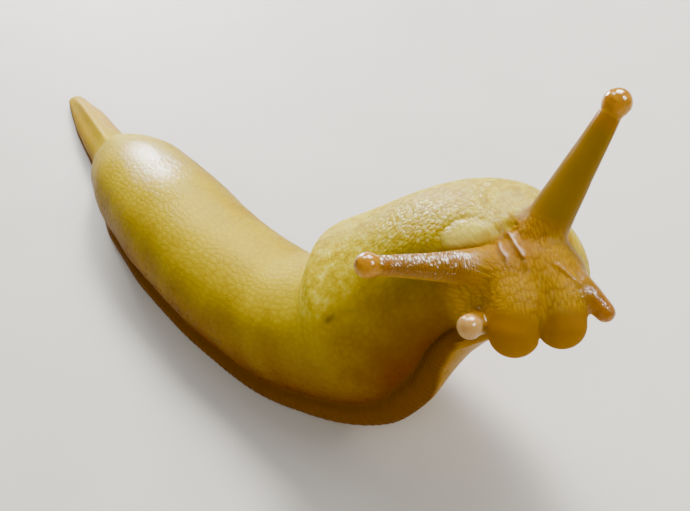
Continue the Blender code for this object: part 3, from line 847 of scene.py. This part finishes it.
def fold_relief(skin):
    """The wet folds down the brow and the cheek."""
    total = np.zeros(len(skin.s))
    for start, stop, rise, width in FOLDS:
        start, stop = np.array(start), np.array(stop)
        run = unit(stop - start)
        aside = unit(np.cross(run, (0.0, 0.0, 1.0)))
        offset = skin.points - start
        along = (offset @ run) / np.linalg.norm(stop - start)
        across = offset @ aside + 0.08 * np.sin(9.0 * along)
        ends = smoothstep(-0.12, 0.12, along) * fade(0.7, 1.15, along)
        near = ends * (np.abs(offset[:, 2]) < 3.0)
        crest, foot = bell(across, width), bell(np.abs(across) - 2.2 * width, width)
        total += near * rise * (crest - 0.3 * foot)
    return total


def lip_masks(skin):
    """The swollen lip at the right of the mantle's front, and the crease behind it."""
    middle, half_length = mantle_reach(skin.body)
    turn = np.degrees(skin.around)
    aside = np.clip(np.abs(skin.around - MANTLE_SKEW) / MANTLE_HALF_ANGLE, 0.0, 1.0)
    front = middle + half_length * (1.0 - aside ** MANTLE_FRONT_POWER) ** (1 / MANTLE_FRONT_POWER)
    low, first, last, high = LIP_TURNS
    width = LIP_WIDTH * smoothstep(low, first, turn) * fade(last, high, turn)
    behind = front - skin.s
    present = smoothstep(0.4, 1.2, width)
    lip = present * fade(width - 1.5, width + 0.2, behind)
    return lip, present * smoothstep(first - 18.0, first - 4.0, turn) * bell(behind - width, 0.36)


def regions(skin):
    """Where each region of the skin is, as a mask from 0 to 1."""
    body, s = skin.body, skin.s
    share, ahead = skin.mantle_share()
    on = SimpleNamespace(**limb_masks(skin), lobe=lobe_mask(skin), ahead=ahead)
    past_neck = smoothstep(body.at["neck"] - 1.5, body.at["neck"] + 1.5, s)
    radial = np.hypot(skin.left / skin.half_width, (skin.up - skin.level) / skin.rise)
    on.back = fade(2.6, 3.6, (radial - 1.0) * skin.half_width)
    on.back *= skin.up > 0.4 * skin.height
    soft = fade(0.4, 0.75, ahead)
    on.mantle = fade(0.98 - 0.18 * soft, 1.01 + 0.05 * soft, share)
    on.mantle *= on.back * fade(0.3, 0.8, on.limb)
    on.lip, on.crease = [on.mantle * value for value in lip_masks(skin)]
    on.foot = fade(-0.25, 0.15, skin.up - skin.foot) * (1.0 - past_neck)
    level = np.abs(skin.left) / (skin.half_width + FRINGE)
    on.sole = on.foot * fade(0.88, 0.97, level) * (skin.up < 0.3 * skin.foot)
    nape = smoothstep(0.85, 1.05, -skin.around)
    nape *= fade(body.at["face"] - 1.0, body.at["face"] + 1.5, s)
    on.nape = nape * past_neck * fade(0.2, 0.6, on.limb)
    on.head = past_neck * (1.0 - on.mantle) * (1.0 - on.nape)
    on.face = on.head * (1.0 - on.limb) * (1.0 - on.lobe)
    on.plain = (1.0 - on.mantle) * (1.0 - on.head) * (1.0 - on.foot) * (1.0 - on.limb)
    return on


def textures(skin):
    """The bumps of the back, the lines of the face, the mantle's grain and the foot's furrows."""
    s, around, points = skin.s, skin.around, skin.points
    wander = 0.4 * drift(points, 3.0, 3)
    along = (s + 2.2 * np.maximum(0.0, np.abs(around) - 0.5)) / BACK_BUMP_SIZE[0]
    back = tubercles(along + wander, around * BODY_RADIUS / BACK_BUMP_SIZE[1] + wander, 10)
    down_face = (s - skin.up) / FACE_LINE_SIZE[0] + wander
    in_front = fade(3.4, 4.6, np.abs(skin.left))
    face = in_front * tubercles(down_face, skin.left / FACE_LINE_SIZE[1] + 0.6 * wander, 20)
    across = around * HEAD_RADIUS / CHEEK_BUMP_SIZE[1] + wander
    face += (1.0 - in_front) * tubercles(s / CHEEK_BUMP_SIZE[0] + wander, across, 24)
    grain = tubercles(s / GRAIN_SIZE, around * BODY_RADIUS / GRAIN_SIZE, 30, 0.9)
    furrows = 0.5 + 0.5 * np.cos(2 * math.pi * (s / FURROW_SPACING + 0.25 * drift(points, 2.0, 5)))
    return back, face, grain, furrows


def wetness(skin, on, crest):
    """How glossy the film of mucus is: most on tentacles and folds, then rump and mantle."""
    place, length, turn, width = RUMP_GLOSS
    rump = bell(skin.s - place, length) * bell(skin.around - turn, width)
    body = 0.02 + 0.95 * rump + on.mantle * 0.28 * smoothstep(-0.1, 0.8, on.ahead)
    small = "lower_tentacle_right"
    root = skin.on_limb(small) * fade(2.8, 3.8, skin.limb_at[small][0])
    limb = on.limb * (1.0 - 0.7 * on.under) * (1.0 - 0.85 * on.olive) * (1.0 - 0.8 * root)
    return np.maximum(body, np.maximum(limb, crest))


def relief(skin, facing):
    """How far the skin stands out at each vertex, in millimetres, and the masks for its material."""
    on = regions(skin)
    back, lines, grain, furrows = textures(skin)
    hole, slit = hole_relief(skin)
    folds = fold_relief(skin)
    split = on.lobe * bell(skin.cleft(), 0.22)
    grained = on.mantle * (1.0 - 0.6 * on.lip) * (0.45 + 0.55 * smoothstep(-0.3, 0.5, on.ahead))
    height = BACK_BUMP * on.plain * (back - 1.0) + FACE_LINE * on.face * (lines - 1.0)
    height += MANTLE_GRAIN * grained * (grain - 1.0) + LIP_RISE * on.lip - CREASE_DEPTH * on.crease
    height += FURROW_DEPTH * on.foot * (1.0 - on.sole) * (furrows - 1.0) - CLEFT_DEPTH * split
    height += BODY_SWELL * drift(skin.points, 6.0, 7) * on.plain
    height += SKIN_SWELL * drift(skin.points, 2.5, 8) * (1.0 - on.lobe) * (1.0 - 0.8 * on.face)
    height += (folds + mouth_relief(skin) * (1.0 - on.lobe)) * (1.0 - on.limb) + hole * on.back
    # Grooves and cleft: painted shade, and on the face partly the lines' own darker colour.
    on.groove = 0.5 * on.plain * (1.0 - back) + 1.5 * on.face * (1.0 - lines)
    on.groove += grained * (1.0 - grain) + split
    # The breathing hole's slit, painted darker as shade.
    on.pit = slit * on.back
    on.fold = np.clip(np.abs(folds) / 0.2, 0.0, 1.0)
    # The tentacles' undersides, which the colour paints brighter as a glow of light shining through.
    on.under = on.limb * (1.0 - on.olive) * smoothstep(-0.1, 0.7, -facing[:, 2])
    on.wet = wetness(skin, on, np.clip(folds / 0.25, 0.0, 1.0) * on.face)
    return height, painted(skin, on)


def painted(skin, on):
    """The masks that the skin's material reads."""
    side = np.abs(skin.around)
    slight = skin.on_limb("lower_tentacle_left")
    # The level from the flank to the back's top, along which the colour darkens partly as painted shade.
    dorsal = 1.0 - side / (math.pi / 2 + TUCK)
    # The neck's flanks are lifted up the ramp: painted light, against the shade of the head and tentacles.
    dorsal += 0.1 * smoothstep(136.0, 150.0, skin.s) * smoothstep(0.7, 1.2, side)
    brow = bell(np.linalg.norm(skin.points - BROW_PLACE, axis=1), BROW_REACH)
    kept = ("mantle", "lip", "head", "foot", "sole", "limb", "tip", "pale", "olive", "lobe", "under",
            "groove", "pit", "fold", "wet", "stalk")
    return {
        "dorsal": np.clip(np.maximum(dorsal, 0.72 * on.nape), 0.0, 1.0),
        "tail": fade(*TAIL_END, skin.s),
        "brow": on.face * brow,
        "beads": 1.5 * skin.on_limb("upper_tentacle_right") + slight,
        "calm": np.maximum.reduce([on.lobe, 0.6 * on.lip, on.olive, on.pale, 0.3 * slight]),
        "grain": np.stack([skin.s, skin.around * BODY_RADIUS, 0.0 * skin.s], axis=1),
    } | {name: vars(on)[name] for name in kept}


def make_knob(limb):
    """The knob at a tentacle's end, which holds the eye."""
    neck = limb.length - limb.ball_radius
    d = limb.to_tip(neck - 0.6, 40)
    radii = limb.radius(d) * (0.92 + 0.06 * smoothstep(neck - 0.6, neck + 0.2, d))
    points, faces = loft(limb.rings(d, radii, 72))
    mesh = make_mesh(limb.ball.replace("eye", "knob"), points * MM, faces)
    along, _, _ = limb.locate(points)
    lean = unit(limb.slopes[-1] + 0.25 * np.array([0.0, 0.0, 1.0]))
    spot = (unit(points - limb.curve[-1]) * lean).sum(1)
    spot = np.where(along > limb.length - 0.5 * limb.ball_radius, spot, -1.0)
    store(mesh, {"spot": spot, "knob": smoothstep(neck - 0.3, neck + 1.2, along)})
    mesh.shade_smooth()
    return make_object(mesh.name, mesh)


class Graph:
    """A material's nodes, made and linked in one call each."""

    def __init__(self, name):
        self.material = bpy.data.materials.new(name)
        self.material.use_nodes = True
        self.tree = self.material.node_tree
        self.shader = self.tree.nodes["Principled BSDF"]

    def put(self, socket, value):
        """Set a socket to a value, or link another node's output to it."""
        if isinstance(value, bpy.types.NodeSocket):
            self.tree.links.new(value, socket)
        elif hasattr(socket.default_value, "__len__") and len(socket.default_value) == 4:
            socket.default_value = (*value, 1.0)
        else:
            socket.default_value = value

    def node(self, kind, inputs=None, **settings):
        """A node with its settings and inputs."""
        made = self.tree.nodes.new(kind)
        for key, value in settings.items():
            setattr(made, key, value)
        for key, value in (inputs or {}).items():
            self.put(made.inputs[key], value)
        return made

    def mask(self, name, output="Fac"):
        """The value of one of the mesh's masks, or the place that it keeps."""
        return self.node("ShaderNodeAttribute", attribute_name=name).outputs[output]

    def math(self, operation, a, b=0.0, clamp=False):
        """A sum on two values."""
        made = self.node("ShaderNodeMath", {0: a, 1: b}, operation=operation, use_clamp=clamp)
        return made.outputs[0]

    def times(self, a, b, clamp=False):
        """The product of two values."""
        return self.math("MULTIPLY", a, b, clamp)

    def between(self, value, low, high):
        """A soft step of a value from 0 at low to 1 at high."""
        inputs = {0: value, 1: low, 2: high}
        return self.node("ShaderNodeMapRange", inputs, interpolation_type="SMOOTHSTEP").outputs[0]

    def mix(self, share, a, b, blend="MIX"):
        """A colour between two colours."""
        made = self.node("ShaderNodeMix", data_type="RGBA", blend_type=blend)
        self.put(made.inputs[0], share)
        self.put(made.inputs[6], a)
        self.put(made.inputs[7], b)
        return made.outputs[2]

    def cover(self, under, mask, share, over):
        """A colour that covers another where a mask is, at most by a share."""
        return self.mix(self.times(self.mask(mask), share, True), under, over)

    def ramp(self, value, stops):
        """Colours along a value."""
        made = self.node("ShaderNodeValToRGB", {0: value})
        elements = made.color_ramp.elements
        while len(elements) < len(stops):
            elements.new(0.5)
        for element, (place, colour) in zip(elements, stops):
            element.position = place
            element.color = (*colour, 1.0)
        return made.outputs[0]

    def noise(self, size, detail=3.0):
        """Noise with features of about the given size in metres."""
        place = self.node("ShaderNodeTexCoord").outputs["Object"]
        inputs = {"Vector": place, "Scale": 1.0 / size, "Detail": detail, "Roughness": 0.5}
        return self.node("ShaderNodeTexNoise", inputs).outputs["Fac"]

    def net(self, vector, scale, steep):
        """A net of grooves, from 0 in a groove to 1 between them."""
        inputs = {"Vector": vector, "Scale": scale}
        made = self.node("ShaderNodeTexVoronoi", inputs, feature="DISTANCE_TO_EDGE")
        return self.math("MINIMUM", self.times(made.outputs["Distance"], steep), 1.0)

    def set(self, **values):
        """Set the shader's own sockets, by names with underscores for spaces."""
        for key, value in values.items():
            self.put(self.shader.inputs[key.replace("_", " ")], value)


def wet_flesh(graph, radius, weight, film):
    """Flesh that light passes into, under a film of mucus."""
    graph.set(Metallic=0.0, IOR=1.38, Specular_IOR_Level=0.02)
    graph.set(Subsurface_Weight=weight, Subsurface_Radius=radius, Subsurface_Scale=0.0018)
    graph.set(Coat_Weight=film, Coat_Roughness=0.06, Coat_IOR=1.34)


def skin_colour(graph, blotch, speck):
    """Yellow, paler on the back and orange low on the flanks, partly as painted shade, amber on the head
    and limbs.
    """
    uneven = graph.times(graph.math("SUBTRACT", blotch, 0.5), 0.35)
    level = graph.math("ADD", graph.mask("dorsal"), uneven, True)
    tone = graph.ramp(speck, [(0.3, (0.8, 0.76, 0.6)), (0.7, (1.0, 1.0, 1.0))])
    colour = graph.mix(0.5, graph.ramp(level, BACK_COLOURS), tone, "MULTIPLY")
    colour = graph.cover(colour, "tail", 0.55, TAIL_COLOUR)
    on_mantle = graph.times(graph.mask("mantle"), graph.between(graph.mask("dorsal"), 0.46, 0.8))
    colour = graph.mix(on_mantle, colour, graph.ramp(speck, MANTLE_COLOURS))
    for mask, share, over in COVERS:
        shade = graph.ramp(blotch, [(0.3, over[0]), (0.7, over[-1])]) if len(over) > 1 else over[0]
        colour = graph.cover(colour, mask, share, shade)
    return colour


def skin_bump(graph, fine):
    """The body's net, the tentacles' beads and a grain, all too fine for the mesh."""
    stalk = graph.mask("stalk", "Vector")
    turned = {"Vector": stalk, "Rotation": (0.0, 0.0, 0.35), "Scale": (2.9, 1.6, 1.0)}
    beads = graph.net(graph.node("ShaderNodeMapping", turned).outputs[0], 1.0, 4.0)
    rough = graph.math("SUBTRACT", 1.0, graph.times(graph.mask("calm"), 0.85), True)
    off_limb = graph.math("SUBTRACT", 1.0, graph.mask("limb"), True)
    coarse = graph.times(graph.times(graph.net(graph.mask("grain", "Vector"), 3.2, 6.0), 0.7), off_limb)
    coarse = graph.math("ADD", coarse, graph.times(beads, graph.mask("beads")))
    total = graph.times(graph.math("ADD", coarse, graph.times(fine, 0.7)), rough)
    bump = graph.node("ShaderNodeBump", {"Height": total, "Strength": 0.5, "Distance": 0.00008})
    return bump.outputs[0]


def skin_material():
    """The slug's wet skin."""
    graph = Graph("skin")
    speck = graph.noise(0.0009)
    roughness = graph.math("ADD", 0.2, graph.times(speck, 0.2))
    roughness = graph.math("ADD", roughness, graph.times(graph.mask("lobe"), 0.3))
    bump = skin_bump(graph, graph.noise(0.00022))
    graph.set(Base_Color=skin_colour(graph, graph.noise(0.006, 2.0), speck), Roughness=roughness)
    graph.set(Normal=bump, Coat_Normal=bump)
    wet_flesh(graph, (1.0, 0.6, 0.1), 0.3, graph.mask("wet"))
    return graph.material


def knob_material():
    """The clear orange flesh of a knob, with the small dark eye in it."""
    graph = Graph("eye_knob")
    fine = graph.noise(0.0004)
    clear = graph.ramp(fine, [(0.3, (0.4, 0.17, 0.002)), (0.7, (0.5, 0.24, 0.008))])
    colour = graph.mix(graph.mask("knob"), (0.34, 0.16, 0.0), clear)
    eye = graph.times(graph.between(graph.mask("spot"), 0.93, 0.985), 0.6)
    colour = graph.mix(eye, colour, (0.08, 0.025, 0.002))
    bump = graph.node("ShaderNodeBump", {"Height": fine, "Strength": 0.2, "Distance": 0.00005})
    graph.set(Base_Color=colour, Roughness=0.2, Normal=bump.outputs[0])
    wet_flesh(graph, (1.0, 0.5, 0.1), 0.4, 0.9)
    return graph.material


def floor_material():
    """Plain pale matte paper."""
    graph = Graph("floor")
    colour = graph.ramp(graph.noise(0.02), [(0.3, (0.57, 0.56, 0.54)), (0.7, (0.61, 0.6, 0.58))])
    graph.set(Base_Color=colour, Roughness=0.75)
    return graph.material


def add_floor():
    """A wide pale floor under the slug."""
    corners = [(x * FLOOR_REACH, y * FLOOR_REACH, 0.0) for x, y in ((-1, -1), (1, -1), (1, 1), (-1, 1))]
    floor = make_object("floor", make_mesh("floor", corners, [(0, 1, 2, 3)]))
    floor.data.materials.append(floor_material())


def add_light(name, place, aim, size, power, colour, on_film):
    """A soft square light that faces a point, for the film of wet or for the flesh below."""
    light = bpy.data.lights.new(name, "AREA")
    light.shape = "SQUARE"
    light.size = size
    light.energy = power
    light.color = colour
    made = make_object(name, light)
    made.location = place
    made.rotation_euler = (Vector(aim) - Vector(place)).to_track_quat("-Z", "Y").to_euler()
    made.visible_glossy = on_film
    made.visible_diffuse = not on_film


def add_lights():
    """Daylight from behind, soft light from the front, and the sky in the wet skin."""
    for name, setting in FLESH_LIGHTS.items():
        add_light(name, *setting, on_film=False)
    for name, setting in FILM_LIGHTS.items():
        add_light(name, *setting, on_film=True)
    world = bpy.data.worlds.new("studio")
    world.use_nodes = True
    background = world.node_tree.nodes["Background"]
    background.inputs[0].default_value = (1.0, 0.98, 0.94, 1.0)
    background.inputs[1].default_value = 0.15
    bpy.context.scene.world = world


def add_camera():
    """The photograph's view: close to the face, from above and in front."""
    camera = bpy.data.cameras.new("camera")
    camera.sensor_width = 36.0
    camera.lens = CAMERA_LENS
    camera.clip_start = 0.005
    made = make_object("camera", camera)
    forward = unit(CAMERA_FORWARD)
    up = unit(np.cross(unit(CAMERA_RIGHT), forward))
    right = np.cross(forward, up)
    turn = Matrix((tuple(right), tuple(up), tuple(-forward))).transposed().to_4x4()
    made.matrix_world = Matrix.Translation(CAMERA_PLACE) @ turn
    bpy.context.scene.camera = made


def main():
    """Dress the slug."""
    body = Body()
    limbs = [Limb(body, name) for name in LIMBS]
    skin = make_skin(body, limbs)
    skin.data.materials.append(skin_material())
    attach(skin, "root")
    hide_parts(*FLESH_NODES)
    clear = knob_material()
    for limb in limbs:
        if limb.ball:
            knob = make_knob(limb)
            knob.data.materials.append(clear)
            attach(knob, "root")
            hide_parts(limb.ball)
    add_floor()
    add_lights()
    add_camera()


main()
